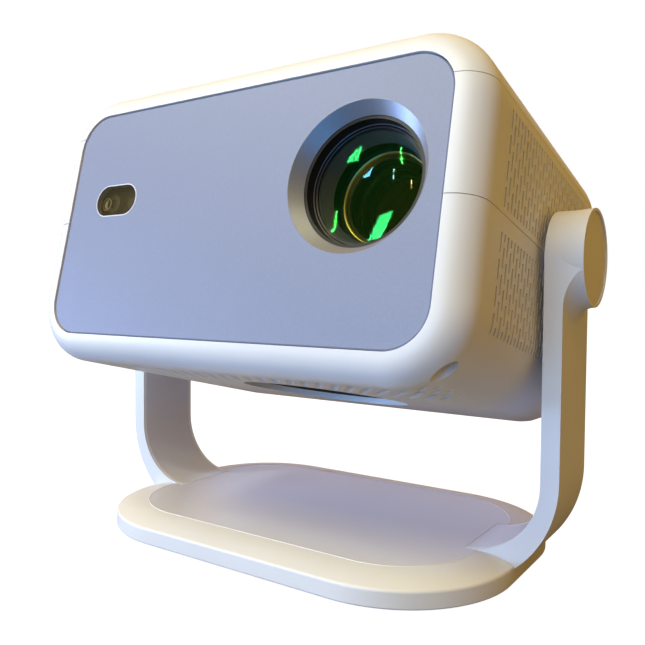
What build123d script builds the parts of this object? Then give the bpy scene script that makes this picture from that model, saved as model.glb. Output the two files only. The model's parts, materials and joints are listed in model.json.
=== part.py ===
from build123d import *
import math
import os

os.makedirs("parts", exist_ok=True)

# Home projector: a rounded head that tilts between the two arms of a weighted cradle stand.
# World frame: origin on the ground under the tilt axis, X along that axis, the lens towards -Y, +Z up.
# The head is modelled level, with its own origin on the tilt axis, and then tilted lens-up.

# ---- driving dimensions, in millimetres and degrees ----

# Stand
pivot_height = 120.0
sole_proud = 0.7
sole_recess = 0.6
sole_inset = 9.0
sole_gap = 0.1
base_end_setback = 15.35
base_depth = 131.0
base_corner_radius = 48.0
base_centre_y = -3.0
base_wall_height = 6.7
base_pad_level = 9.5
base_crease_radius = 1.2
base_bottom_radius = 0.8
pad_band = 14.6
pad_thickness = 1.4
pad_gap = 0.15
arm_gap = 2.7
arm_thickness = 6.65
arm_width = 34.8
arm_bend_radius = 28.0
arm_heel_radius = 45.0
arm_heel_rise = 30.0
arm_tongue = 31.0
arm_cover_margin = 1.5
boss_height = 6.65
boss_rim_radius = 18.0
boss_rim_width = 1.1
cap_thickness = 1.0
cap_inset = 0.5
ballast_gap = 0.4
ballast_floor = 2.6
base_screw_pitch = 18.0
base_screw_offset = 8.0
base_screw_radius = 1.5
base_screw_head_radius = 3.0
base_screw_head_height = 1.2
base_screw_tip_depth = 1.8
base_screw_bottom_gap = 0.6
base_screw_seat_gap = 0.05
crown_overlap = 4.0
boss_sink = 0.5
bolt_head_gap = 1.0
ballast_end_gap = 3.0
ballast_side_gap = 4.0
ballast_top_gap = 0.2
cap_gap = 0.1
cap_seat_gap = 0.02
cap_edge_radius = 0.3

# Tilt pivot
tilt_at_rest = 12.94
bolt_radius = 4.0
bolt_head_radius = 8.0
bolt_head_height = 4.0
bolt_seat_wall = 4.0
running_clearance = 0.05
collar_radius = 9.0
hub_flange_radius = 15.0
hub_flange_thickness = 3.0
washer_radius = 9.0
washer_thickness = 1.0
nut_radius = 7.5
nut_thickness = 4.5
face_gap = 0.3
bolt_drive_radius = 3.4
bolt_drive_depth = 2.4
bolt_end_proud = 1.0

# Head casing
head_width = 200.0
head_height = 118.0
head_depth = 150.0
corner_radius = 26.6
front_edge_radius = 10.6
rear_edge_radius = 20.0
shell_wall = 2.2
front_wall = 5.0
seam_gap = 0.3
mid_seam_z = 0.0
top_seam_z = 39.1
cutter_overrun = 1.0
pivot_hole_reach = 6.0
web_half_thickness = 1.2
thread_hole_radius = 1.55
clearance_hole_radius = 1.7
cover_screw_side_inset = 16.0
cover_screw_front_inset = 23.0
cover_screw_rear_inset = 31.0
cover_boss_radius = 4.0
cover_thread_depth = 9.0
shelf_half_depth = 5.0
shelf_thickness = 2.2
shell_post_radius = 4.5
shell_post_top_z = 20.0
shell_thread_top_z = 8.0
shell_post_gap = 0.2
housing_screw_thread = 14.0

# Front panel
panel_width = 177.3
panel_height = 96.7
panel_corner_radius = 14.6
panel_thickness = 2.4
panel_inset = 0.6
panel_gap = 0.35
panel_ledge = 3.0
panel_edge_chamfer = 0.4
lens_x = 56.2
lens_z = 9.0
bezel_radius = 26.7
bezel_throat_radius = 23.3
bezel_depth = 5.2
bezel_wall = 1.6
window_x = -60.6
window_z = 8.9
window_length = 24.0
window_height = 13.0
window_gap = 0.12
window_flange = 1.5
window_flange_thickness = 0.8
window_sink = 0.15
window_edge_chamfer = 0.3
sensor_board_half_width = 13.0
sensor_board_half_height = 8.0
sensor_board_standoff = 3.2
sensor_board_thickness = 1.0
sensor_camera_radius = 4.0
sensor_camera_bore = 2.2
sensor_camera_offset = 5.5
ranger_start = 3.5
ranger_length = 6.0
ranger_half_height = 2.2

# Side vents: staggered upright slots in two blocks on each side
slot_length = 6.9
slot_width = 1.4
slot_pitch = 8.7
slot_column_pitch = 3.2
slot_half_length = 2.9
slot_rows = 4
slot_columns = 34
slot_first_depth = 22.0
upper_vent_top = 35.2
lower_vent_top = -5.6

# Underside: hole field near the front, round intake recess, corner screw wells
hole_radius = 1.6
hole_pitch = 6.4
hole_row_pitch = 4.8
hole_rows = 6
hole_columns = 23
hole_field_x = 12.0
hole_first_depth = 15.0
recess_radius = 35.5
recess_x = 10.0
recess_depth_from_front = 72.0
recess_inset = 2.5
recess_wall = 2.0
recess_ledge = 2.5
intake_cover_thickness = 1.8
intake_cover_gap = 0.3
filter_thickness = 2.0
grille_ring_radii = (9.0, 15.0, 21.0, 27.0)
grille_slot_half_width = 1.3
grille_spoke_half_width = 2.0
well_radius = 3.75
front_well_x = 90.5
front_well_depth = 11.0
rear_well_x = 84.0
rear_well_inset = 17.0
post_radius = 5.2
post_top_z = -10.0
screw_seat_z = -38.0

# Lens barrel and focus drive
barrel_radius = 22.0
barrel_front_depth = 10.0
barrel_length = 42.0
housing_wall = 3.0
lip_wall = 0.5
lip_depth = 0.7
front_glass_wall = 1.5
front_glass_depth = 9.1
front_glass_thickness = 4.9
front_glass_outer_sphere = 120.0
front_glass_inner_sphere = 80.0
front_glass_ledge = 0.5
lens_fit = 0.02
glass_radius = 18.9
glass_view_radius = 18.2
glass_edge_depth = 17.6
glass_sphere_radius = 60.0
glass_thickness = 5.5
middle_lens_start = 9.4
middle_lens_thickness = 5.0
middle_lens_sphere = 75.0
rear_lens_start = 27.0
rear_lens_thickness = 6.0
rear_lens_sphere = 39.5
bore_steps = [(17.4, 5.5, 9.0), (16.0, 9.0, 15.0), (14.4, 15.0, 26.0), (15.2, 26.0, 40.0)]
focus_travel = 2.5
motor_gap = 1.5
focus_screw_radius = 2.0
motor_radius = 7.5
motor_length = 13.0
nut_lug_length = 6.0
nut_lug_half_width = 4.0
nut_lug_gap = 0.5
nut_lug_rear_gap = 4.0
motor_shaft_gap = 3.0
motor_boss_radius = 2.5
motor_boss_length = 1.5
motor_socket_depth = 4.0
bracket_half_width = 7.0
bracket_thickness = 2.0
bracket_edge = 1.0
housing_front_gap = 0.2

# Light engine
engine_half = 28.0
engine_left_x = -46.0
engine_depth_from_front = 55.0
engine_wall = 2.0
engine_fit = 0.2
engine_leg_radius = 2.5
mirror_thickness = 2.0
engine_leg_inset = 10.0
engine_front_leg_inset = 8.0
engine_rear_leg_inset = 12.0
engine_left_leg_shift = 2.0
lcd_offset = 8.0
lcd_thickness = 2.5
lcd_height = 36.0
field_lens_offset = 16.0
field_lens_thickness = 2.0
field_lens_height = 51.6
condenser_offset = 18.0
condenser_thickness = 12.0
condenser_dome = 10.0
condenser_sphere_share = 1.5
lamp_board_thickness = 3.0
lamp_board_half = 26.0
lamp_half_width = 10.0
lamp_half_height = 6.0
lamp_height = 1.5
lamp_sink = 0.5
sink_half_depth = 34.0
sink_half_height = 32.0
sink_plate = 4.0
sink_length = 28.0
fin_count = 14
fin_half_thickness = 0.8
fin_root = 0.5

# Fans
fan_thickness = 15.0
exhaust_fan_size = 40.0
intake_fan_size = 60.0
fan_tip_gap = 0.8
fan_frame_wall = 1.4
fan_hub_share = 0.46
fan_blades = 7
fan_corner_radius = 4.0
fan_plate = 1.6
fan_spoke_half_width = 1.2
fan_shaft_radius = 1.5
fan_hole_radius = 1.7
fan_hole_inset = 4.5
fan_rotor_start = 2.2
fan_rotor_end_gap = 0.8
fan_shaft_start = 0.3
fan_shaft_end = 3.0
fan_blade_pitch = 38.0
fan_blade_thickness = 1.2
fan_hub_gap = 2.0
fan_mount_gap = 0.2

# Speakers
speaker_size = 25.0
speaker_post_gap = 4.3

# Rear ports
port_plate_width = 104.0
port_plate_height = 24.0
port_plate_z = -23.0
port_plate_thickness = 1.6
port_plate_inset = 0.5
port_plate_corner = 4.0
port_plate_gap = 0.2
port_flange = 2.5
port_flange_thickness = 1.2
port_flange_corner = 5.0
socket_gap = 0.2
socket_wall = 0.6
inlet_length = 20.0
inlet_wall = 1.3
inlet_depth = 13.0
pin_radius = 1.2
pin_spacing = 8.6
board_rear_inset = 5.0
board_thickness = 1.6
power_board_width = 52.0
power_post_inset = 5.0
mainboard_width = 120.0
mainboard_depth = 44.0

# Power button on the top cover
button_radius = 7.0
button_y = 45.0
button_gap = 0.2
button_proud = 0.5
button_flange = 1.6
button_travel = 1.0

# ---- places worked out from the driving dimensions ----

front_y = -head_depth / 2
rear_y = head_depth / 2
side_x = head_width / 2
inner_side_x = side_x - shell_wall
roof_z = head_height / 2
inner_roof_z = roof_z - shell_wall
inner_front_y = front_y + front_wall
arm_inner_x = side_x + arm_gap
arm_outer_x = arm_inner_x + arm_thickness
boss_outer_x = arm_outer_x + boss_height
base_width = 2 * (arm_outer_x - base_end_setback)
sole_top_z = sole_proud + sole_recess
pad_top_z = sole_proud + base_pad_level
pad_bottom_z = pad_top_z - pad_thickness
tongue_bottom_z = pad_top_z - arm_thickness
bend_centre_x = arm_inner_x - arm_bend_radius
bend_centre_z = pad_top_z + arm_bend_radius
heel_centre_x = arm_outer_x - arm_heel_radius
heel_centre_z = pad_top_z + arm_heel_rise
tongue_end_x = bend_centre_x - arm_tongue
pad_edge_x = bend_centre_x
base_screw_seat_z = sole_top_z + base_screw_head_height + base_screw_seat_gap
base_screw_tip_z = pad_bottom_z - base_screw_tip_depth
panel_back_y = front_y + panel_inset + panel_thickness
recess_y = front_y + recess_depth_from_front
barrel_front_y = front_y + barrel_front_depth
engine_front_y = front_y + engine_depth_from_front
rear_well_y = rear_y - rear_well_inset
speaker_y = rear_well_y - post_radius - speaker_post_gap - speaker_size / 2
housing_radius = barrel_radius + housing_wall
front_glass_radius = barrel_radius - front_glass_wall
focus_screw_z = lens_z - housing_radius - motor_gap - motor_radius
engine_left_leg_x = recess_x - intake_fan_size / 2 - engine_leg_radius - 1.0
power_board_right_x = engine_left_leg_x - engine_leg_radius - 1.0
power_board_left_x = power_board_right_x - power_board_width


# ---- small shape helpers ----

def block(x0, x1, y0, y1, z0, z1):
    """Rectangular block between two corners."""
    return Pos((x0 + x1) / 2, (y0 + y1) / 2, (z0 + z1) / 2) * Box(x1 - x0, y1 - y0, z1 - z0)


def rod_x(radius, x0, x1, y=0.0, z=0.0):
    """Round bar along X."""
    return Pos((x0 + x1) / 2, y, z) * Rot(0, 90, 0) * Cylinder(radius, x1 - x0)


def rod_y(radius, y0, y1, x=0.0, z=0.0):
    """Round bar along Y."""
    return Pos(x, (y0 + y1) / 2, z) * Rot(90, 0, 0) * Cylinder(radius, y1 - y0)


def rod_z(radius, z0, z1, x=0.0, y=0.0):
    """Round bar along Z."""
    return Pos(x, y, (z0 + z1) / 2) * Cylinder(radius, z1 - z0)


def cone_y(front_radius, rear_radius, y0, y1, x=0.0, z=0.0):
    """Round taper along Y, from the front radius at y0 to the rear radius at y1."""
    return Pos(x, (y0 + y1) / 2, z) * Rot(90, 0, 0) * Cone(rear_radius, front_radius, y1 - y0)


def plate_y(outline, y0, y1, x=0.0, z=0.0):
    """Plate cut to an outline drawn in the XZ plane, between two depths."""
    return Pos(x, y1, z) * Rot(90, 0, 0) * extrude(outline, y1 - y0)


def plate_z(outline, z0, z1, x=0.0, y=0.0):
    """Plate cut to an outline drawn in the XY plane, between two heights."""
    return Pos(x, y, z0) * extrude(outline, z1 - z0)


def mirrored(shape):
    """The same piece for the other side of the projector."""
    return mirror(shape, about=Plane.YZ)


def both_sides(shape):
    """A pair of pieces, left and right."""
    return [shape, mirrored(shape)]


def edges_at_z(shape, z):
    """Level edges of a shape that lie at one height."""
    return [edge for edge in shape.edges() if abs(edge.bounding_box().min.Z - z) < 0.01
            and abs(edge.bounding_box().max.Z - z) < 0.01]


def hexagon_x(radius, x0, x1):
    """Hexagonal bar along X, measured across its corners."""
    return Pos(x0, 0, 0) * Rot(0, 90, 0) * extrude(RegularPolygon(radius, 6), x1 - x0)


def pan_screw(head_radius, head_height, shank_radius, shank_length):
    """Screw that points up, with the underside of its head at z = 0 and a round drive recess."""
    screw = rod_z(head_radius, -head_height, 0) + rod_z(shank_radius, -0.1, shank_length)
    return screw - rod_z(head_radius * 0.4, -head_height, -head_height * 0.45)


# ---- stand ----

def crown_profile():
    """Section of the base's rim: an upright wall, then a crowned band that levels out at the pad."""
    rise = base_pad_level - base_wall_height
    crown_radius = (pad_band ** 2 + rise ** 2) / (2 * rise)
    middle = math.asin(pad_band / crown_radius) / 2
    inner = -pad_band - crown_overlap
    level = pad_top_z
    crease = (0.0, level - rise)
    on_crown = (-pad_band + crown_radius * math.sin(middle), level - crown_radius * (1 - math.cos(middle)))
    top_line = Line((-pad_band, level), (inner, level))
    sides = Polyline((inner, level), (inner, sole_proud), (0.0, sole_proud), crease)
    return make_face([ThreePointArc(crease, on_crown, (-pad_band, level)), top_line, *sides.edges()])


def base_block():
    """Whole base before anything is cut from it."""
    outline = RectangleRounded(base_width, base_depth, base_corner_radius)
    path = outline.wire()
    start = path @ 0
    up = Vector(0, 0, 1)
    outward = (path % 0).cross(up)
    if outward.dot(start) < 0:
        outward = outward * -1
    section = Plane(origin=start, x_dir=outward, z_dir=outward.cross(up))
    rim = sweep(section * crown_profile(), path=path)
    core = RectangleRounded(base_width - 2 * pad_band - 2, base_depth - 2 * pad_band - 2,
                            base_corner_radius - pad_band - 1)
    whole = rim + plate_z(core, sole_proud, pad_top_z)
    whole = fillet(edges_at_z(whole, sole_proud + base_wall_height), base_crease_radius)
    whole = fillet(edges_at_z(whole, sole_proud), base_bottom_radius)
    return Pos(0, base_centre_y, 0) * whole


def pad_outline(gap=0.0):
    """Outline of the pad that is let into the base."""
    return RectangleRounded(base_width - 2 * pad_band + 2 * gap, base_depth - 2 * pad_band + 2 * gap,
                            base_corner_radius - pad_band + gap)


def arm_strip(thickness, width, end_x=tongue_end_x, heel=False):
    """Right-hand strip that rises past the head and bends inwards through the base.

    The strip keeps its thickness round the bend, or swells into the arm's heavier heel.
    """
    outer_x = arm_inner_x + thickness
    level = pad_top_z
    underside = level - thickness
    centre = (bend_centre_x, bend_centre_z)
    outer_centre = (heel_centre_x, heel_centre_z) if heel else centre
    outer_radius = outer_x - outer_centre[0]
    drop = outer_centre[1] - underside
    heel_x = outer_centre[0] + math.sqrt(max(outer_radius ** 2 - drop ** 2, 0.0))
    sweep_angle = math.degrees(math.asin(min(drop / outer_radius, 1.0)))
    lines = [
        Line((arm_inner_x, pivot_height), (arm_inner_x, centre[1])),
        CenterArc(centre, arm_bend_radius, 0, -90),
        Line((centre[0], level), (end_x, level)),
        Line((end_x, level), (end_x, underside)),
        Line((end_x, underside), (heel_x, underside)),
        CenterArc(outer_centre, outer_radius, -sweep_angle, sweep_angle),
        Line((outer_x, outer_centre[1]), (outer_x, pivot_height)),
        Line((outer_x, pivot_height), (arm_inner_x, pivot_height)),
    ]
    strip = extrude(Plane.XZ * make_face(lines), amount=width / 2, both=True)
    return strip + rod_x(width / 2, arm_inner_x, outer_x, 0, pivot_height)


def boss_flare():
    """Concave sweep from the arm's outer face out to the lower half of the pivot boss."""
    radius = boss_height
    outer = boss_rim_radius
    root = arm_outer_x - 2 * boss_sink
    middle = radius * (1 - math.sqrt(0.5))
    curve = ThreePointArc((arm_outer_x, outer + radius), (arm_outer_x + middle, outer + middle),
                          (boss_outer_x, outer))
    rest = Polyline((boss_outer_x, outer), (boss_outer_x, 0), (root, 0), (root, outer + radius),
                    (arm_outer_x, outer + radius))
    flare = revolve(make_face([curve, *rest.edges()]), Axis.X)
    strip_zone = block(root, boss_outer_x, -arm_width / 2, arm_width / 2, -60, 0)
    return Pos(0, 0, pivot_height) * (flare & strip_zone)


def right_arm():
    """Right arm with its pivot boss, cap recess, bolt seat and cover pocket."""
    arm = arm_strip(arm_thickness, arm_width, heel=True)
    boss = Pos(arm_outer_x + boss_height / 2 - boss_sink, 0, pivot_height) * Rot(0, 90, 0) * Cone(
        arm_width / 2, boss_rim_radius, boss_height + 2 * boss_sink)
    arm += boss
    arm += boss_flare()
    arm -= arm_strip(pad_thickness, arm_width - 2 * arm_cover_margin)
    arm -= block(0, pad_edge_x, -arm_width, arm_width, pad_bottom_z, pad_top_z + 1)
    cap_floor = boss_outer_x - cap_thickness - cap_inset
    arm -= rod_x(boss_rim_radius - boss_rim_width, cap_floor, boss_outer_x + 1, 0, pivot_height)
    seat_x = arm_inner_x + pad_thickness + bolt_seat_wall
    arm -= rod_x(bolt_head_radius + bolt_head_gap, seat_x, boss_outer_x, 0, pivot_height)
    arm -= rod_x(bolt_radius + running_clearance, arm_inner_x, boss_outer_x, 0, pivot_height)
    for x, y in base_screw_places():
        hole_top = base_screw_tip_z + base_screw_bottom_gap
        arm -= rod_z(base_screw_radius + running_clearance, tongue_bottom_z - cutter_overrun, hole_top, x, y)
    return arm


def right_arm_cover():
    """Thin inner cover that fills the arm's pocket and runs down into the pad."""
    width = arm_width - 2 * arm_cover_margin - 2 * pad_gap
    cover = arm_strip(pad_thickness, width)
    cover -= block(0, pad_edge_x, -arm_width, arm_width, 0, pad_top_z + 1)
    return cover - rod_x(bolt_radius + face_gap, arm_inner_x - 1, arm_outer_x, 0, pivot_height)


def base_shell():
    """Moulded base with pockets for the pad, the arms' tongues and the ballast."""
    shell = base_block()
    shell -= plate_z(pad_outline(pad_gap), pad_bottom_z, pad_top_z + 1, 0, base_centre_y)
    slot = arm_strip(arm_thickness, arm_width + 2 * pad_gap, end_x=tongue_end_x - pad_gap, heel=True)
    for one in both_sides(slot):
        shell -= one
    shell -= ballast_shape(ballast_gap)
    shell -= plate_z(sole_outline(sole_gap), 0, sole_top_z, 0, base_centre_y)
    for x, y in base_screw_places():
        shell -= rod_z(base_screw_radius + face_gap, 0, pad_bottom_z, x, y)
        shell -= rod_z(base_screw_head_radius + face_gap, 0, base_screw_seat_z, x, y)
    return shell


def ballast_shape(gap=0.0):
    """Steel weight between the arms' tongues, or the pocket around it."""
    half_x = tongue_end_x - ballast_end_gap + gap
    half_y = base_depth / 2 - pad_band - ballast_side_gap + gap
    floor = sole_proud + ballast_floor
    top = pad_bottom_z + (0.0 if gap else -ballast_top_gap)
    return block(-half_x, half_x, base_centre_y - half_y, base_centre_y + half_y, floor, top)


def sole_outline(gap=0.0):
    """Outline of the rubber sheet under the base, or of its recess."""
    inset = sole_inset - gap
    return RectangleRounded(base_width - 2 * inset, base_depth - 2 * inset, base_corner_radius - inset)


def base_screw_places():
    """Centres of the screws that hold the arms' tongues down."""
    x = tongue_end_x + base_screw_offset
    return [(sx * x, sy * base_screw_pitch / 2) for sx in (-1, 1) for sy in (-1, 1)]


def base_pad():
    """Pad let into the top of the base, notched where the arm covers run in."""
    pad = plate_z(pad_outline(), pad_bottom_z, pad_top_z, 0, base_centre_y)
    notch = block(pad_edge_x, base_width, -arm_width / 2 - pad_gap, arm_width / 2 + pad_gap,
                  pad_bottom_z - 1, pad_top_z + 1)
    for one in both_sides(notch):
        pad -= one
    return pad


def rubber_sole():
    """Non-slip rubber sheet glued into a recess under the base."""
    return plate_z(sole_outline(), 0, sole_top_z, 0, base_centre_y)


def base_screws():
    """Four screws up through the base into the arms."""
    screw = pan_screw(base_screw_head_radius, base_screw_head_height, base_screw_radius,
                      base_screw_tip_z - base_screw_seat_z)
    return [Pos(x, y, base_screw_seat_z) * screw for x, y in base_screw_places()]


def right_pivot_cap():
    """Round cap that hides the pivot bolt."""
    radius = boss_rim_radius - boss_rim_width - cap_gap
    face_x = boss_outer_x - cap_inset
    cap = rod_x(radius, face_x - cap_thickness + cap_seat_gap, face_x, 0, pivot_height)
    return fillet(cap.faces().sort_by(Axis.X)[-1].edges(), cap_edge_radius)


def right_pivot_bolt():
    """Steel pivot bolt: head seated in the arm, shank running in the head's hub."""
    seat_x = arm_inner_x + pad_thickness + bolt_seat_wall
    inner_end = hub_inner_x() - face_gap - washer_thickness - nut_thickness - bolt_end_proud
    bolt = rod_x(bolt_head_radius, seat_x, seat_x + bolt_head_height, 0, pivot_height)
    bolt += rod_x(bolt_radius, inner_end, seat_x + 0.5, 0, pivot_height)
    drive = Pos(seat_x + bolt_head_height - bolt_drive_depth, 0, pivot_height) * Rot(0, 90, 0) * extrude(
        RegularPolygon(bolt_drive_radius, 6), bolt_drive_depth + cutter_overrun)
    return bolt - drive


def hub_inner_x():
    """Inner face of the hub flange inside the head."""
    return inner_side_x - hub_flange_thickness


def right_friction_washer():
    """Spring washer that presses on the hub and gives the tilt its friction."""
    x1 = hub_inner_x() - face_gap
    washer = rod_x(washer_radius, x1 - washer_thickness, x1) - rod_x(bolt_radius, x1 - 5, x1 + 5)
    return Pos(0, 0, pivot_height) * washer


def right_pivot_nut():
    """Locknut on the inner end of the pivot bolt."""
    x1 = hub_inner_x() - face_gap - washer_thickness
    nut = hexagon_x(nut_radius, x1 - nut_thickness, x1) - rod_x(bolt_radius, x1 - 9, x1 + 9)
    return Pos(0, 0, pivot_height) * nut


# ---- head casing (level, origin on the tilt axis) ----

def housing_form(side, front, rear):
    """Rounded housing shape, pulled in by a wall at the sides, front and rear."""
    outline = RectangleRounded(head_width - 2 * side, head_height - 2 * side, corner_radius - side)
    form = plate_y(outline, front_y + front, rear_y - rear)
    form = fillet(form.faces().sort_by(Axis.Y)[0].edges(), front_edge_radius - side)
    return fillet(form.faces().sort_by(Axis.Y)[-1].edges(), rear_edge_radius - side)


def casing():
    """Hollow casing with the front opening, before it is parted at its seams."""
    hollow = housing_form(0, 0, 0) - housing_form(shell_wall, front_wall, shell_wall)
    seat = RectangleRounded(panel_width + 2 * panel_gap, panel_height + 2 * panel_gap,
                            panel_corner_radius + panel_gap)
    opening = RectangleRounded(panel_width - 2 * panel_ledge, panel_height - 2 * panel_ledge,
                               panel_corner_radius - panel_ledge)
    hollow -= plate_y(seat, front_y - 1, panel_back_y)
    hollow -= plate_y(opening, front_y, inner_front_y + 1)
    for x in (-side_x, side_x):
        hollow -= rod_x(collar_radius + face_gap, x - pivot_hole_reach, x + pivot_hole_reach)
    return hollow


def level_slice(z0, z1):
    """Slab between two heights, larger than the head."""
    return block(-head_width, head_width, -head_depth, head_depth, z0, z1)


def vent_slot(length, top_z, y):
    """Cutter for one upright slot through the right side wall."""
    slot = Rot(0, 90, 0) * extrude(SlotOverall(length, slot_width), corner_radius / 2)
    return Pos(side_x - corner_radius / 2 + 2, y, top_z - length / 2) * slot


def vent_block(block_top):
    """Cutters for one block of staggered slots, flush along its top and bottom."""
    cutters = []
    block_height = slot_rows * slot_pitch - (slot_pitch - slot_length)
    for column in range(slot_columns):
        y = front_y + slot_first_depth + column * slot_column_pitch
        if column % 2 == 0:
            cutters += [vent_slot(slot_length, block_top - row * slot_pitch, y) for row in range(slot_rows)]
        else:
            cutters.append(vent_slot(slot_half_length, block_top, y))
            cutters.append(vent_slot(slot_half_length, block_top - block_height + slot_half_length, y))
            cutters += [vent_slot(slot_length, block_top - slot_pitch * (row + 0.5), y)
                        for row in range(slot_rows - 1)]
    return cutters


def with_vents(shell, block_top):
    """Shell with a block of slots cut through both sides."""
    cutters = vent_block(block_top)
    return shell - (cutters + [mirrored(cutter) for cutter in cutters])


def well_places():
    """Centres of the four screw wells, seen from above."""
    front = front_y + front_well_depth
    return [(sx * x, y) for sx in (-1, 1) for x, y in ((front_well_x, front), (rear_well_x, rear_well_y))]


def cover_screw_places():
    """Centres of the screws that hold the top cover."""
    x = head_width / 2 - cover_screw_side_inset
    front = front_y + cover_screw_front_inset
    return [(sx * x, y) for sx in (-1, 1) for y in (front, rear_y - cover_screw_rear_inset)]


def lower_shell():
    """Lower half of the casing: side vents, hole field, intake recess, wells and board posts."""
    shell = casing() & level_slice(-head_height, mid_seam_z - seam_gap / 2)
    form = housing_form(0, 0, 0)
    inside = housing_form(shell_wall / 2, shell_wall, shell_wall / 2)
    for x, y in well_places():
        wall_x = math.copysign(inner_side_x + 1, x)
        web = block(min(x, wall_x), max(x, wall_x), y - web_half_thickness, y + web_half_thickness,
                    -head_height / 2, post_top_z)
        post = rod_z(post_radius, -head_height / 2, post_top_z, x, y) + web
        shell += post & form
    shell += rod_z(recess_radius + recess_wall, -roof_z + 1, cup_top_z(), recess_x, recess_y)
    shell -= rod_z(recess_radius, -roof_z - 1, recess_seat_z(), recess_x, recess_y)
    shell -= rod_z(recess_radius - recess_ledge, -roof_z - 1, cup_top_z() + 1, recess_x, recess_y)
    for x, y in board_post_places():
        shell += rod_z(3.0, -roof_z, mainboard_bottom_z(), x, y) & inside
        shell -= rod_z(1.3, mainboard_bottom_z() - 8, mainboard_bottom_z() + 1, x, y)
    for x, y in power_post_places():
        shell += rod_z(3.0, -roof_z, power_board_bottom_z(), x, y) & inside
    for x, y in engine_leg_places():
        shell += rod_z(engine_leg_radius, -roof_z, lens_z - engine_half, x, y) & inside
    for x, y in well_places():
        shell -= rod_z(well_radius, -head_height, screw_seat_z, x, y)
        shell -= rod_z(clearance_hole_radius, screw_seat_z - 1, post_top_z + 1, x, y)
    shell -= hole_field()
    opening = RectangleRounded(port_plate_width + 2 * port_plate_gap, port_plate_height + 2 * port_plate_gap,
                               port_plate_corner + port_plate_gap)
    shell -= plate_y(opening, rear_y - shell_wall - 1, rear_y + 1, 0, port_plate_z)
    return with_vents(shell, lower_vent_top)


def hole_field():
    """Cutters for the staggered round holes near the front of the underside."""
    cutters = []
    for row in range(hole_rows):
        shift = hole_pitch / 2 * (row % 2)
        for column in range(hole_columns):
            x = hole_field_x + (column - (hole_columns - 1) / 2) * hole_pitch + shift
            y = front_y + hole_first_depth + row * hole_row_pitch
            if math.hypot(x - recess_x, y - recess_y) > recess_radius + recess_wall + 2 * hole_radius:
                cutters.append(rod_z(hole_radius, -roof_z - 1, -roof_z + shell_wall + 1, x, y))
    return cutters


def recess_seat_z():
    """Ledge height that the intake cover sits against."""
    return -roof_z + recess_inset + intake_cover_thickness


def cup_top_z():
    """Top of the wall around the intake recess."""
    return recess_seat_z() + filter_thickness


def upper_shell():
    """Middle ring of the casing, with the upper vents and the posts that take the housing screws."""
    ring = level_slice(mid_seam_z + seam_gap / 2, top_seam_z - seam_gap / 2)
    shell = casing() & ring
    form = housing_form(0, 0, 0)
    for x, y in well_places():
        wall_x = math.copysign(inner_side_x + 1, x)
        web = block(min(x, wall_x), max(x, wall_x), y - web_half_thickness, y + web_half_thickness,
                    mid_seam_z + seam_gap / 2, shell_post_top_z)
        post = rod_z(shell_post_radius, post_top_z + shell_post_gap, shell_post_top_z, x, y)
        shell += (post + web) & form
        shell -= rod_z(thread_hole_radius, post_top_z, shell_thread_top_z, x, y)
    for x, y in cover_screw_places():
        wall_x = math.copysign(inner_side_x + 1, x)
        far_x = x - math.copysign(shelf_half_depth, x)
        shelf_top = top_seam_z - seam_gap / 2
        shelf = block(min(far_x, wall_x), max(far_x, wall_x), y - shelf_half_depth, y + shelf_half_depth,
                      shelf_top - shelf_thickness, shelf_top)
        shell += shelf & form
        shell -= rod_z(clearance_hole_radius, shelf_top - shelf_thickness - 0.8, shelf_top + 1, x, y)
    return with_vents(shell, upper_vent_top)


def top_cover():
    """Lid of the casing with the power button hole and the bosses for its screws."""
    cover = casing() & level_slice(top_seam_z + seam_gap / 2, head_height)
    inside = housing_form(shell_wall / 2, shell_wall, shell_wall / 2)
    for x, y in cover_screw_places():
        cover += rod_z(cover_boss_radius, top_seam_z + seam_gap / 2, roof_z, x, y) & inside
        cover -= rod_z(thread_hole_radius, top_seam_z - 1, top_seam_z + cover_thread_depth, x, y)
    cover -= rod_z(button_radius + button_gap, inner_roof_z - 1, roof_z + 1, 0, button_y)
    for x in (-12.0, 12.0):
        cover += rod_z(2.5, button_board_z() + board_thickness, inner_roof_z + 1, x, button_y)
    return cover


def front_panel():
    """Flat front plate with the sloped lens bezel and the window cut-out."""
    outline = RectangleRounded(panel_width, panel_height, panel_corner_radius)
    face_y = front_y + panel_inset
    panel = plate_y(outline, face_y, panel_back_y)
    panel = chamfer(panel.faces().sort_by(Axis.Y)[0].edges(), panel_edge_chamfer)
    throat_y = face_y + bezel_depth
    panel += rod_y(bezel_radius + bezel_wall, face_y + 1, throat_y, lens_x, lens_z)
    panel -= cone_y(bezel_radius, bezel_throat_radius, face_y, throat_y, lens_x, lens_z)
    cut = SlotOverall(window_length + 2 * window_gap, window_height + 2 * window_gap)
    panel -= plate_y(cut, face_y - 1, panel_back_y + 1, window_x, window_z)
    return panel


def sensor_window():
    """Tinted window with a rear flange that bears on the back of the panel."""
    face_y = front_y + panel_inset + window_sink
    window = plate_y(SlotOverall(window_length, window_height), face_y, panel_back_y, window_x, window_z)
    window = chamfer(window.faces().sort_by(Axis.Y)[0].edges(), window_edge_chamfer)
    flange = SlotOverall(window_length + 2 * window_flange, window_height + 2 * window_flange)
    return window + plate_y(flange, panel_back_y, panel_back_y + window_flange_thickness, window_x, window_z)


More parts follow.
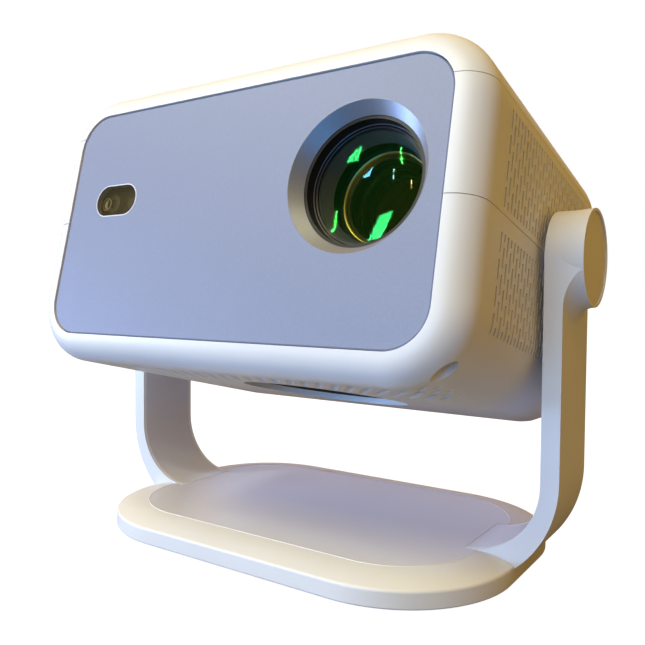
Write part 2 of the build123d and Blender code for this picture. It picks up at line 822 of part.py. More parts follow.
def focus_sensor():
    """Ranging sensor and small camera behind the window, on one board."""
    y0 = panel_back_y + window_flange_thickness
    board_y = y0 + sensor_board_standoff
    camera_x = window_x - sensor_camera_offset
    ranger_x = window_x + ranger_start
    board = block(window_x - sensor_board_half_width, window_x + sensor_board_half_width, board_y,
                  board_y + sensor_board_thickness, window_z - sensor_board_half_height,
                  window_z + sensor_board_half_height)
    camera = rod_y(sensor_camera_radius, y0 + 0.2, board_y + 0.2, camera_x, window_z)
    camera -= rod_y(sensor_camera_bore, y0, y0 + 1.4, camera_x, window_z)
    ranger = block(ranger_x, ranger_x + ranger_length, y0 + 0.6, board_y + 0.2,
                   window_z - ranger_half_height, window_z + ranger_half_height)
    return board + camera + ranger


def intake_cover():
    """Round grille let into the underside, with rings of curved slots."""
    z0 = -roof_z + recess_inset
    cover = rod_z(recess_radius - intake_cover_gap, z0, z0 + intake_cover_thickness)
    cutters = []
    for ring_radius in grille_ring_radii:
        ring = rod_z(ring_radius + grille_slot_half_width, z0 - 1, z0 + 4)
        ring -= rod_z(ring_radius - grille_slot_half_width, z0 - 1, z0 + 4)
        for quarter in range(4):
            ring -= Rot(0, 0, 90 * quarter) * block(0, recess_radius, -grille_spoke_half_width,
                                                    grille_spoke_half_width, z0 - 2, z0 + 5)
        cutters.append(ring)
    for ring in cutters:
        cover -= ring
    return Pos(recess_x, recess_y, 0) * cover


def dust_filter():
    """Foam disc between the intake cover and the fan."""
    z0 = recess_seat_z()
    return rod_z(recess_radius - recess_ledge - 0.3, z0, z0 + filter_thickness, recess_x, recess_y)


def housing_screws():
    """Four long screws that join the lower and upper shells."""
    screw = pan_screw(3.0, 2.4, 1.5, post_top_z - screw_seat_z + housing_screw_thread)
    return [Pos(x, y, screw_seat_z) * screw for x, y in well_places()]


def cover_screws():
    """Four short screws that hold the top cover from inside."""
    screw = pan_screw(2.9, 2.0, 1.5, 9)
    seat_z = top_seam_z - seam_gap / 2 - shelf_thickness
    return [Pos(x, y, seat_z) * screw for x, y in cover_screw_places()]


def right_pivot_hub():
    """Steel hub behind the side wall, whose collar comes out to meet the arm."""
    hub = rod_x(hub_flange_radius, hub_inner_x(), inner_side_x)
    hub += rod_x(collar_radius, inner_side_x - 1, arm_inner_x - face_gap)
    return hub - rod_x(bolt_radius + running_clearance, hub_inner_x() - 1, arm_inner_x + 1)


# ---- lens and focus drive ----

def lens_housing():
    """Fixed tube around the barrel, with the brackets that hold the focus motor and screw."""
    front = front_y + panel_inset + bezel_depth + housing_front_gap
    housing = rod_y(housing_radius, front, engine_front_y, lens_x, lens_z)
    motor_face = barrel_front_y + motor_length + motor_shaft_gap
    rear_bracket = engine_front_y - bracket_thickness
    for y0, y1 in ((motor_face, motor_face + bracket_thickness), (rear_bracket, engine_front_y)):
        drop = focus_screw_z - motor_radius - bracket_edge
        housing += block(lens_x - bracket_half_width, lens_x + bracket_half_width, y0, y1, drop, lens_z)
    housing -= rod_y(barrel_radius + running_clearance, front - 1, engine_front_y + 1, lens_x, lens_z)
    housing -= rod_y(focus_screw_radius + running_clearance, motor_face - 1, engine_front_y + 1,
                     lens_x, focus_screw_z)
    slot_half = nut_lug_length / 2 + focus_travel + nut_lug_gap
    lug_y = nut_lug_y()
    slot_half_width = nut_lug_half_width + nut_lug_gap
    housing -= block(lens_x - slot_half_width, lens_x + slot_half_width, lug_y - slot_half,
                     lug_y + slot_half, lens_z - housing_radius - 1, lens_z - barrel_radius + 2)
    return housing


def nut_lug_y():
    """Middle of the barrel's nut lug along the lens axis."""
    return engine_front_y - bracket_thickness - focus_travel - nut_lug_length / 2 - nut_lug_rear_gap


def lens_barrel():
    """Sliding barrel: hooded mouth, stepped bore with lens seats, and the nut lug."""
    rear = barrel_front_y + barrel_length
    glass_y = front_y + glass_edge_depth
    barrel = rod_y(barrel_radius, barrel_front_y, rear, lens_x, lens_z)
    lug_y = nut_lug_y()
    barrel += block(lens_x - nut_lug_half_width, lens_x + nut_lug_half_width, lug_y - nut_lug_length / 2,
                    lug_y + nut_lug_length / 2, focus_screw_z - nut_lug_half_width,
                    lens_z - barrel_radius + 2)
    baffle_radius = front_glass_radius - front_glass_ledge
    seat_y = front_glass_rear_y(baffle_radius) + lens_fit
    barrel -= rod_y(barrel_radius - lip_wall, barrel_front_y - 1, barrel_front_y + lip_depth, lens_x, lens_z)
    barrel -= rod_y(front_glass_radius + lens_fit, barrel_front_y, seat_y, lens_x, lens_z)
    barrel -= cone_y(baffle_radius, glass_view_radius, seat_y, glass_y, lens_x, lens_z)
    barrel -= rod_y(glass_radius + lens_fit, glass_y, glass_y + glass_thickness, lens_x, lens_z)
    for radius, start, end in bore_steps:
        barrel -= rod_y(radius, glass_y + start - 0.01, glass_y + end, lens_x, lens_z)
    barrel -= rod_y(focus_screw_radius + running_clearance, lug_y - 10, lug_y + 10, lens_x, focus_screw_z)
    return barrel


def sagitta(sphere_radius, radius):
    """Depth of a spherical face between its middle and a given radius."""
    return sphere_radius - math.sqrt(sphere_radius ** 2 - radius ** 2)


def front_glass_rear_y(radius):
    """Place of the front element's rear face at a given radius."""
    return front_y + front_glass_depth + front_glass_thickness - sagitta(front_glass_inner_sphere, radius)


def biconvex(radius, y0, y1, front_sphere, rear_sphere):
    """Round lens between two depths, with a spherical face on each side."""
    lens = rod_y(radius, y0, y1, lens_x, lens_z)
    lens &= Pos(lens_x, y0 + front_sphere, lens_z) * Sphere(front_sphere)
    return lens & Pos(lens_x, y1 - rear_sphere, lens_z) * Sphere(rear_sphere)


def front_lens():
    """Large biconvex front element, seated just inside the barrel's lip."""
    y0 = front_y + front_glass_depth
    return biconvex(front_glass_radius, y0, y0 + front_glass_thickness,
                    front_glass_outer_sphere, front_glass_inner_sphere)


def second_lens():
    """Second element, at the bottom of the baffle cone, with a domed face and a stepped edge."""
    glass_y = front_y + glass_edge_depth
    apex_y = glass_y - sagitta(glass_sphere_radius, glass_view_radius)
    ball = Pos(lens_x, apex_y + glass_sphere_radius, lens_z) * Sphere(glass_sphere_radius)
    dome = ball & rod_y(glass_view_radius - lens_fit, apex_y - 1, glass_y + 1, lens_x, lens_z)
    return dome + rod_y(glass_radius, glass_y + lens_fit, glass_y + glass_thickness, lens_x, lens_z)


def inner_lens(start, bore_radius, thickness, sphere):
    """Biconvex element in one of the barrel's bores, at a distance behind the second element's edge."""
    y0 = front_y + glass_edge_depth + start
    return biconvex(bore_radius - lens_fit, y0, y0 + thickness, sphere, sphere)


def focus_motor():
    """Small stepper that turns the focus screw."""
    face_y = barrel_front_y + motor_length + motor_shaft_gap
    motor = rod_y(motor_radius, face_y - motor_length, face_y, lens_x, focus_screw_z)
    back_y = face_y - motor_length
    motor += rod_y(motor_boss_radius, back_y - motor_boss_length, back_y + 1, lens_x, focus_screw_z)
    return motor - rod_y(focus_screw_radius + running_clearance, face_y - motor_socket_depth - 1, face_y + 1,
                         lens_x, focus_screw_z)


def focus_screw():
    """Lead screw from the motor to the rear bracket, through the barrel's nut lug."""
    face_y = barrel_front_y + motor_length + motor_shaft_gap
    return rod_y(focus_screw_radius, face_y - motor_socket_depth, engine_front_y - housing_front_gap, lens_x,
                 focus_screw_z)


# ---- light engine ----

def engine_housing():
    """Closed light tunnel with its lens opening in front and the lamp opening at its left end."""
    y0 = engine_front_y
    y1 = y0 + 2 * engine_half
    x1 = lens_x + engine_half
    z0 = lens_z - engine_half
    z1 = lens_z + engine_half
    wall = engine_wall
    housing = block(engine_left_x, x1, y0, y1, z0, z1)
    housing -= block(engine_left_x - 1, x1 - wall, y0 + wall, y1 - wall, z0 + wall, z1 - wall)
    housing -= rod_y(glass_radius, y0 - 1, y0 + wall + 1, lens_x, lens_z)
    return housing


def engine_leg_places():
    """Legs of the lower shell that the light engine stands on, clear of the boards and the fan."""
    front = engine_front_y + engine_front_leg_inset
    rear = engine_front_y + 2 * engine_half - engine_rear_leg_inset
    right = lens_x + engine_half - engine_leg_inset
    return [(right, front), (right, rear), (engine_left_leg_x, rear - engine_left_leg_shift)]


def tunnel_plate(x0, thickness, height):
    """Flat optical plate across the light tunnel."""
    y_half = engine_half - engine_wall - engine_fit
    y_mid = engine_front_y + engine_half
    return block(x0, x0 + thickness, y_mid - y_half, y_mid + y_half,
                 lens_z - height / 2, lens_z + height / 2)


def condenser_lens():
    """Plano-convex collecting lens near the lamp."""
    y_mid = engine_front_y + engine_half
    radius = engine_half - engine_wall - engine_fit
    ball_radius = radius * condenser_sphere_share
    x0 = engine_left_x + condenser_offset
    ball = Pos(x0 + condenser_dome - ball_radius, y_mid, lens_z) * Sphere(ball_radius)
    return ball & rod_x(radius, x0, x0 + condenser_thickness, y_mid, lens_z)


def folding_mirror():
    """Mirror that turns the light forwards into the lens, set corner to corner in the housing."""
    y_mid = engine_front_y + engine_half
    reach = engine_half - engine_wall - engine_fit
    length = 2 * (reach * math.sqrt(2) - mirror_thickness / 2)
    height = 2 * (engine_half - engine_wall - engine_fit)
    return Pos(lens_x, y_mid, lens_z) * Rot(0, 0, -45) * Box(length, mirror_thickness, height)


def led_module():
    """Lamp board that closes the left end of the tunnel."""
    y_mid = engine_front_y + engine_half
    board = block(engine_left_x - lamp_board_thickness, engine_left_x, y_mid - lamp_board_half,
                  y_mid + lamp_board_half, lens_z - lamp_board_half, lens_z + lamp_board_half)
    return board + block(engine_left_x - lamp_sink, engine_left_x + lamp_height, y_mid - lamp_half_width,
                         y_mid + lamp_half_width, lens_z - lamp_half_height, lens_z + lamp_half_height)


def heat_sink():
    """Finned aluminium block on the back of the lamp board."""
    y_mid = engine_front_y + engine_half
    x1 = engine_left_x - lamp_board_thickness
    z0 = lens_z - sink_half_height
    z1 = lens_z + sink_half_height
    fin_reach = sink_half_depth - fin_half_thickness
    sink = block(x1 - sink_plate, x1, y_mid - sink_half_depth, y_mid + sink_half_depth, z0, z1)
    for fin in range(fin_count):
        y = y_mid - fin_reach + fin * 2 * fin_reach / (fin_count - 1)
        sink += block(x1 - sink_length, x1 - sink_plate + fin_root, y - fin_half_thickness,
                      y + fin_half_thickness, z0, z1)
    return sink


# ---- fans (modelled about their own axis along +Z, blowing up) ----

def fan_frame(size):
    """Square fan frame with four spokes and a bearing hub."""
    half = size / 2
    bore = half - fan_frame_wall
    hub = half * fan_hub_share
    frame = plate_z(RectangleRounded(size, size, fan_corner_radius), 0, fan_thickness)
    frame -= rod_z(bore, -1, fan_thickness + 1)
    spokes = rod_z(hub, 0, fan_plate)
    for quarter in range(4):
        spokes += Rot(0, 0, 45 + 90 * quarter) * block(hub - 1, bore + 1, -fan_spoke_half_width,
                                                       fan_spoke_half_width, 0, fan_plate)
    frame += spokes
    frame -= rod_z(fan_shaft_radius + running_clearance, -1, fan_shaft_end)
    corner = half - fan_hole_inset
    for sx in (-1, 1):
        for sy in (-1, 1):
            frame -= rod_z(fan_hole_radius, -1, fan_thickness + 1, sx * corner, sy * corner)
    return frame


def fan_rotor(size):
    """Rotor with a closed hub, swept blades and a shaft in the frame's bearing."""
    half = size / 2
    hub = half * fan_hub_share
    tip = half - fan_frame_wall - fan_tip_gap
    rotor = rod_z(hub, fan_rotor_start, fan_thickness - fan_rotor_end_gap)
    rotor += rod_z(fan_shaft_radius, fan_shaft_start, fan_shaft_end)
    reach = rod_z(tip, fan_rotor_start, fan_thickness - fan_rotor_end_gap)
    for blade in range(fan_blades):
        turn = Rot(0, 0, 360 * blade / fan_blades)
        vane = Pos((hub + tip) / 2, 0, (fan_rotor_start + fan_thickness - fan_rotor_end_gap) / 2)
        vane *= Rot(fan_blade_pitch, 0, 0) * Box(tip - hub + 4, fan_blade_thickness, fan_thickness - 3.0)
        rotor += turn * vane & reach
    return rotor


def exhaust_place():
    """Fan behind the left vents, blowing outwards."""
    y = -hub_flange_radius - fan_hub_gap - exhaust_fan_size / 2
    return Pos(-inner_side_x + face_gap + fan_thickness, y, lens_z) * Rot(0, -90, 0)


def intake_place():
    """Fan above the round intake, blowing up."""
    return Pos(recess_x, recess_y, cup_top_z() + fan_mount_gap)


# ---- boards, ports and speakers ----

def mainboard_bottom_z():
    """Underside of the mainboard, which carries the rear sockets at the port plate's height."""
    return port_plate_z - 9.0 - board_thickness


def board_post_places():
    """Posts under the mainboard."""
    x = mainboard_width / 2 - 4
    y1 = rear_y - 9.0
    y0 = y1 - mainboard_depth + 8
    return [(-x, y0), (x, y0), (-x, y1), (x, y1)]


def mainboard():
    """Mainboard with its processor, shield and memory."""
    y1 = rear_y - board_rear_inset
    y0 = y1 - mainboard_depth
    z0 = mainboard_bottom_z()
    top = z0 + board_thickness
    board = block(-mainboard_width / 2, mainboard_width / 2, y0, y1, z0, top)
    board += block(-12, 12, y0 + 6, y0 + 28, top, top + 4)
    board += block(24, 40, y0 + 6, y0 + 22, top, top + 2)
    board += block(-44, -30, y0 + 8, y0 + 20, top, top + 3)
    for x, y in board_post_places():
        board -= rod_z(1.6, z0 - 1, top + 1, x, y)
    return board


def board_screws():
    """Four screws that hold the mainboard on its posts."""
    screw = Rot(180, 0, 0) * pan_screw(2.6, 1.6, 1.25, 7)
    top = mainboard_bottom_z() + board_thickness
    return [Pos(x, y, top) * screw for x, y in board_post_places()]


def power_board_bottom_z():
    """Underside of the power board, low in the left half of the head."""
    return -inner_roof_z + 6.0


def power_post_places():
    """Posts under the power board."""
    left = power_board_left_x + power_post_inset
    right = power_board_right_x - power_post_inset
    return [(x, y) for x in (left, right) for y in (front_y + 48, front_y + 92)]


def power_board():
    """Power supply board with its transformer, capacitors and coil."""
    z0 = power_board_bottom_z()
    top = z0 + board_thickness
    y0 = front_y + 43
    x0 = power_board_left_x
    board = block(x0, power_board_right_x, y0, y0 + 54, z0, top)
    board += block(x0 + 7, x0 + 29, y0 + 14, y0 + 36, top, top + 16)
    for x in (x0 + 37, x0 + 45):
        board += rod_z(3.6, top, top + 12, x, y0 + 12)
    board += rod_z(6.5, top, top + 7, x0 + 41, y0 + 34)
    return board


def port_plate():
    """Rear plate that frames the sockets, held by a flange behind the wall."""
    y1 = rear_y - port_plate_inset
    back = rear_y - shell_wall
    flange_y = back - port_flange_thickness
    outline = RectangleRounded(port_plate_width, port_plate_height, port_plate_corner)
    flange = RectangleRounded(port_plate_width + 2 * port_flange, port_plate_height + 2 * port_flange,
                              port_flange_corner)
    plate = plate_y(outline, y1 - port_plate_thickness, y1, 0, port_plate_z)
    plate += plate_y(flange, flange_y, back, 0, port_plate_z)
    plate += plate_y(outline, flange_y, y1 - 0.5, 0, port_plate_z)
    for x, width, height in socket_faces():
        cut = Rectangle(width + 2 * socket_gap, height + 2 * socket_gap)
        plate -= plate_y(cut, back - 5, y1 + 1, x, port_plate_z)
    plate -= rod_y(jack_radius() + socket_gap, back - 5, y1 + 1, jack_x(), port_plate_z)
    return plate


def socket_faces():
    """Place, width and height of each rectangular socket along the plate."""
    return [(-38.0, 18.0, 11.0), (-12.0, 15.2, 6.0), (8.0, 13.4, 6.2), (26.0, 13.4, 6.2)]


def jack_x():
    """Place of the audio jack along the port plate."""
    return 42.0


def jack_radius():
    """Outer radius of the audio jack's nose."""
    return 4.0


def port_sockets():
    """Video socket and two data sockets, standing on the mainboard."""
    y1 = rear_y - port_plate_inset
    floor = mainboard_bottom_z() + board_thickness
    sockets = []
    for x, width, height in socket_faces()[1:]:
        low = port_plate_z - height / 2
        body = block(x - width / 2, x + width / 2, y1 - 15, y1, low, low + height)
        body -= block(x - width / 2 + socket_wall, x + width / 2 - socket_wall, y1 - 11, y1 + 1,
                      low + socket_wall, low + height - socket_wall)
        body += block(x - width / 2 + 2, x + width / 2 - 2, y1 - 12, y1 - 2,
                      port_plate_z - 0.7, port_plate_z + 0.7)
        body += block(x - width / 2 + 1, x + width / 2 - 1, y1 - 15, y1 - 6, floor, low + 0.3)
        sockets.append(body)
    return sockets


def audio_jack():
    """Audio jack with its round nose, standing on the mainboard."""
    y1 = rear_y - port_plate_inset
    floor = mainboard_bottom_z() + board_thickness
    nose = rod_y(jack_radius(), y1 - 12, y1, jack_x(), port_plate_z)
    nose += block(jack_x() - 3.5, jack_x() + 3.5, y1 - 14, y1 - 6, floor, port_plate_z)
    return nose - rod_y(audio_bore_radius(), y1 - 11, y1 + 1, jack_x(), port_plate_z)


def audio_bore_radius():
    """Bore of the audio jack."""
    return 1.8


def power_inlet():
    """Two-pin mains inlet with a rounded socket."""
    y1 = rear_y - port_plate_inset
    x, width, height = socket_faces()[0]
    body = block(x - width / 2, x + width / 2, y1 - inlet_length, y1,
                 port_plate_z - height / 2, port_plate_z + height / 2)
    socket = SlotOverall(width - 2 * inlet_wall, height - 2 * inlet_wall)
    body -= plate_y(socket, y1 - inlet_depth, y1 + 1, x, port_plate_z)
    for pin_x in (x - pin_spacing / 2, x + pin_spacing / 2):
        body += rod_y(pin_radius, y1 - inlet_depth - 1, y1 - 2, pin_x, port_plate_z)
    floor = mainboard_bottom_z() + board_thickness
    body += block(x - 6, x + 6, y1 - inlet_length, y1 - 6, floor, port_plate_z - height / 2 + 0.5)
    return body


def right_speaker():
    """Small round speaker on a square plate behind the lower side vents."""
    half = speaker_size / 2
    y = speaker_y
    z = lower_vent_top - slot_rows * slot_pitch + half + 0.9
    face_x = inner_side_x - 1.25
    speaker = block(face_x - 2.0, face_x, y - half, y + half, z - half, z + half)
    speaker += Pos(face_x - 5.5, y, z) * Rot(0, 90, 0) * Cone(half * 0.5, half * 0.88, 7.2)
    speaker += rod_x(half * 0.62, face_x - 14, face_x - 9, y, z)
    dish = Pos(face_x - 2.0, y, z) * Rot(0, 90, 0) * Cone(half * 0.35, half * 0.8, 4.2)
    return speaker - dish


# ---- power button ----

def button_board_z():
    """Underside of the small board that carries the button's switch."""
    return inner_roof_z - 10.4


def power_button():
    """Round push button, kept in by a flange under the lid."""
    top = roof_z + button_proud
    flange_top = inner_roof_z - face_gap
    button = rod_z(button_radius, flange_top - 1, top, 0, button_y)
    button = fillet(button.faces().sort_by(Axis.Z)[-1].edges(), 0.6)
    button += rod_z(button_radius + button_flange, flange_top - 1.5, flange_top, 0, button_y)
    return button + rod_z(1.8, flange_top - 3.0, flange_top - 1, 0, button_y)


def button_board():
    """Small board with the push switch under the button."""
    z0 = button_board_z()
    top = z0 + board_thickness
    stem_end = inner_roof_z - face_gap - 3.0
    board = block(-16, 16, button_y - 6, button_y + 6, z0, top)
    board += block(-3, 3, button_y - 3, button_y + 3, top, top + 3.2)
    return board + rod_z(1.5, top + 3, stem_end - button_travel - 0.2, 0, button_y)


# ---- assembly ----

def tilted(shape):
    """Head piece moved from its level frame to its place on the stand."""
    return Pos(0, 0, pivot_height) * Rot(-tilt_at_rest, 0, 0) * shape


def save(name, shapes):
    """Write one node, from one solid or a group of separate solids."""
    group = shapes if isinstance(shapes, list) else [shapes]
    solids = [solid for shape in group for solid in shape.solids()]
    export_step(solids[0] if len(solids) == 1 else Compound(children=solids), f"parts/{name}.step")


stand_nodes = {
    "base_shell": base_shell(),
    "base_pad": base_pad(),
    "ballast_plate": ballast_shape(),
    "rubber_sole": rubber_sole(),
    "base_screws": base_screws(),
    "right_arm": right_arm(),
    "left_arm": mirrored(right_arm()),
    "right_arm_cover": right_arm_cover(),
    "left_arm_cover": mirrored(right_arm_cover()),
    "right_pivot_cap": right_pivot_cap(),
    "left_pivot_cap": mirrored(right_pivot_cap()),
    "right_pivot_bolt": right_pivot_bolt(),
    "left_pivot_bolt": mirrored(right_pivot_bolt()),
    "friction_washers": both_sides(right_friction_washer()),
    "pivot_nuts": both_sides(right_pivot_nut()),
}

head_nodes = {
    "lower_shell": lower_shell(),
    "upper_shell": upper_shell(),
    "top_cover": top_cover(),
    "front_panel": front_panel(),
    "sensor_window": sensor_window(),
    "focus_sensor": focus_sensor(),
    "intake_cover": intake_cover(),
    "dust_filter": dust_filter(),
    "housing_screws": housing_screws(),
    "cover_screws": cover_screws(),
    "right_pivot_hub": right_pivot_hub(),
    "left_pivot_hub": mirrored(right_pivot_hub()),
    "lens_housing": lens_housing(),
    "lens_barrel": lens_barrel(),
    "front_lens": front_lens(),
    "second_lens": second_lens(),
    "middle_lens": inner_lens(middle_lens_start, bore_steps[1][0], middle_lens_thickness,
                              middle_lens_sphere),
    "rear_lens": inner_lens(rear_lens_start, bore_steps[3][0], rear_lens_thickness, rear_lens_sphere),
    "focus_motor": focus_motor(),
    "focus_screw": focus_screw(),
    "engine_housing": engine_housing(),
    "lcd_panel": tunnel_plate(lens_x - engine_half - lcd_offset, lcd_thickness, lcd_height),
    "field_lens": tunnel_plate(lens_x - engine_half - field_lens_offset, field_lens_thickness,
                               field_lens_height),
    "condenser_lens": condenser_lens(),
    "folding_mirror": folding_mirror(),
    "led_module": led_module(),
    "heat_sink": heat_sink(),
    "exhaust_fan_frame": exhaust_place() * fan_frame(exhaust_fan_size),
    "exhaust_fan_rotor": exhaust_place() * fan_rotor(exhaust_fan_size),
    "intake_fan_frame": intake_place() * fan_frame(intake_fan_size),
    "intake_fan_rotor": intake_place() * fan_rotor(intake_fan_size),
    "mainboard": mainboard(),
    "board_screws": board_screws(),
    "power_board": power_board(),
    "rear_port_plate": port_plate(),
    "port_sockets": port_sockets(),
    "audio_jack": audio_jack(),
    "power_inlet": power_inlet(),
    "right_speaker": right_speaker(),
    "left_speaker": mirrored(right_speaker()),
    "power_button": power_button(),
    "button_board": button_board(),
}

for node_name, node_shape in stand_nodes.items():
    save(node_name, node_shape)

for node_name, node_shape in head_nodes.items():
    pieces = node_shape if isinstance(node_shape, list) else [node_shape]
    save(node_name, [tilted(piece) for piece in pieces])
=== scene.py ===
import bpy
import bmesh
import json
import math
from mathutils import Matrix, Vector


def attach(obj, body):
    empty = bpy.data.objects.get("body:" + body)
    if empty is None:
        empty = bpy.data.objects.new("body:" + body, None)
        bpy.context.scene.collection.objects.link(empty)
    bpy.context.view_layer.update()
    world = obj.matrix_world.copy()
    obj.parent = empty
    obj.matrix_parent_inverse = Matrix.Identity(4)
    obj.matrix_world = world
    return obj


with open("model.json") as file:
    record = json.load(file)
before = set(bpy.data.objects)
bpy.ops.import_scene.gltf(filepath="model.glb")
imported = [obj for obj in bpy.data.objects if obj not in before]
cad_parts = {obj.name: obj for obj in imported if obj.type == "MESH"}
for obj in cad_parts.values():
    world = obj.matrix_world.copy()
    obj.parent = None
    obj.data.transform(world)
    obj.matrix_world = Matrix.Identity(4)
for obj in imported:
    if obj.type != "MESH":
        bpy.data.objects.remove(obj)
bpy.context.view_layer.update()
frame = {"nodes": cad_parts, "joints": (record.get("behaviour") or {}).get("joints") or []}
nodes = frame["nodes"]
joints = {joint["name"]: joint for joint in frame["joints"]}


# ---- Camera ----
# A camera held at hand height, a little to the right of the projector and close in, so that the
# head looms over its stand. A slight lens shift brings the projector to the middle of the view.

camera_data = bpy.data.cameras.new("camera")
camera_data.lens = 39.7
camera_data.sensor_width = 36.0
camera_data.shift_x = 0.0302
camera_data.shift_y = -0.0005
camera = bpy.data.objects.new("camera", camera_data)
camera.location = (0.1781, -0.2717, 0.1069)
camera.rotation_euler = [math.radians(angle) for angle in (87.62, -0.33, 35.2)]
bpy.context.scene.collection.objects.link(camera)
bpy.context.scene.camera = camera


# ---- Studio ----
# A pale sweep in a warm, dim room. A broad lamp lights it from above in front, cool light comes in
# low from the left and the front, and a faint blue glow lies behind.

bpy.context.scene.view_settings.view_transform = "Standard"

world = bpy.data.worlds.new("studio")
bpy.context.scene.world = world
world.use_nodes = True
room = world.node_tree
warm_room = room.nodes["Background"]
warm_room.inputs["Color"].default_value = (1.0, 0.58, 0.09, 1.0)
warm_room.inputs["Strength"].default_value = 0.48
white_wall = room.nodes.new("ShaderNodeBackground")
white_wall.inputs["Color"].default_value = (1.0, 1.0, 1.0, 1.0)
seen = room.nodes.new("ShaderNodeLightPath")
wall_or_room = room.nodes.new("ShaderNodeMixShader")
room.links.new(seen.outputs["Is Camera Ray"], wall_or_room.inputs["Fac"])
room.links.new(warm_room.outputs["Background"], wall_or_room.inputs[1])
room.links.new(white_wall.outputs["Background"], wall_or_room.inputs[2])
room.links.new(wall_or_room.outputs["Shader"], room.nodes["World Output"].inputs["Surface"])


def soft_light(name, centre, target, width, height, power, colour, up=(0, 0, 1)):
    """Rectangular soft box at a centre point, turned towards a target."""
    data = bpy.data.lights.new(name, "AREA")
    data.shape = "RECTANGLE"
    data.size = width
    data.size_y = height
    data.energy = power
    data.color = colour
    light = bpy.data.objects.new(name, data)
    back = (Vector(centre) - Vector(target)).normalized()
    side = Vector(up).cross(back).normalized()
    turn = Matrix((side, back.cross(side), back)).transposed()
    light.matrix_world = Matrix.Translation(centre) @ turn.to_4x4()
    bpy.context.scene.collection.objects.link(light)
    return light


soft_boxes = [
    soft_light("front_lamp", (0.0, -0.85, 1.20), (0, 0, 0.05), 0.7, 0.7, 8.6, (1.0, 0.92, 0.58)),
    soft_light("high_lamp", (-0.90, -0.45, 1.15), (0, 0, 0.12), 0.5, 0.8, 1.8, (1.0, 0.35, 0.03)),
    soft_light("low_window", (-1.20, -0.75, 0.12), (0, 0, 0.10), 0.5, 0.4, 17.5, (0.37, 0.56, 1.0)),
    soft_light("front_window", (0.0, -1.30, 0.10), (0, 0, 0.10), 0.7, 0.6, 11.5, (0.04, 0.40, 1.0)),
    soft_light("back_glow", (-0.60, 1.40, 0.45), (0, 0, 0.05), 1.2, 0.6, 4.2, (0.38, 0.54, 1.0)),
]

# Two distant openings that the lens mirrors: a bright window pane and the lit gap beside it.
lens_spot = Vector((0.0562, -0.066, 0.142))
opening_distance = 1.6
towards_pane = Vector((-0.583, -0.470, 0.657))
towards_gap = Vector((-0.2885, -0.673, 0.6765))
soft_light("window_pane", lens_spot + opening_distance * towards_pane, lens_spot, 0.145, 0.235, 7.0,
           (0.85, 1.0, 0.95), up=(0.22, 0.70, 0.68))
soft_light("window_gap", lens_spot + opening_distance * towards_gap, lens_spot, 0.018, 0.25, 2.6,
           (1.0, 0.95, 0.45), up=(-0.16, 0.73, 0.66))

floor_span = 6.0
floor_mesh = bpy.data.meshes.new("floor")
floor_mesh.from_pydata([(-floor_span, -floor_span, 0), (floor_span, -floor_span, 0),
                        (floor_span, floor_span, 0), (-floor_span, floor_span, 0)], [], [(0, 1, 2, 3)])
floor = bpy.data.objects.new("floor", floor_mesh)
bpy.context.scene.collection.objects.link(floor)

# The paper glows to the camera only, so that it is seen white and throws no light of its own.
floor_paper = bpy.data.materials.new("floor_paper")
floor_paper.use_nodes = True
paper_tree = floor_paper.node_tree
paper = paper_tree.nodes["Principled BSDF"]
paper.inputs["Base Color"].default_value = (0.20, 0.185, 0.17, 1.0)
paper.inputs["Roughness"].default_value = 0.9
paper.inputs["Emission Color"].default_value = (1.0, 1.0, 1.0, 1.0)
paper_seen = paper_tree.nodes.new("ShaderNodeLightPath")
paper_tree.links.new(paper_seen.outputs["Is Camera Ray"], paper.inputs["Emission Strength"])
floor_mesh.materials.append(floor_paper)


# ---- White mouldings ----
# Head shells, top cover, base and arms: white ABS from spark-eroded tools, so the skin has a
# fine satin grain and a very slight unevenness of gloss where it has been handled.

millimetre = 0.001


def start_finish(name):
    """Blank finish, with its shader and the place of each point on the piece."""
    material = bpy.data.materials.new(name)
    material.use_nodes = True
    tree = material.node_tree
    place = tree.nodes.new("ShaderNodeTexCoord").outputs["Object"]
    return material, tree, tree.nodes["Principled BSDF"], place


def clouds(tree, place, scale, detail):
    """Cloudy pattern over the piece."""
    pattern = tree.nodes.new("ShaderNodeTexNoise")
    pattern.inputs["Scale"].default_value = scale
    pattern.inputs["Detail"].default_value = detail
    tree.links.new(place, pattern.inputs["Vector"])
    return pattern.outputs["Fac"]


def shade(colour, share):
    """Darker or lighter version of a colour."""
    return [min(1.0, channel * share) for channel in colour]


def two_tones(tree, pattern, dark, light, start=0.0, end=1.0):
    """Colour that runs from dark to light while the pattern goes from start to end."""
    tone = tree.nodes.new("ShaderNodeValToRGB")
    low, high = tone.color_ramp.elements
    low.position = start
    high.position = end
    low.color = (*dark, 1.0)
    high.color = (*light, 1.0)
    tree.links.new(pattern, tone.inputs["Fac"])
    return tone.outputs["Color"]


def between(tree, pattern, least, most):
    """Pattern carried over to the range from least to most."""
    carried = tree.nodes.new("ShaderNodeMapRange")
    carried.inputs["To Min"].default_value = least
    carried.inputs["To Max"].default_value = most
    tree.links.new(pattern, carried.inputs["Value"])
    return carried.outputs["Result"]


def relief(tree, shader, pattern, depth, strength=1.0):
    """Fine relief that follows the pattern."""
    bump = tree.nodes.new("ShaderNodeBump")
    bump.inputs["Strength"].default_value = strength
    bump.inputs["Distance"].default_value = depth
    tree.links.new(pattern, bump.inputs["Height"])
    tree.links.new(bump.outputs["Normal"], shader.inputs["Normal"])


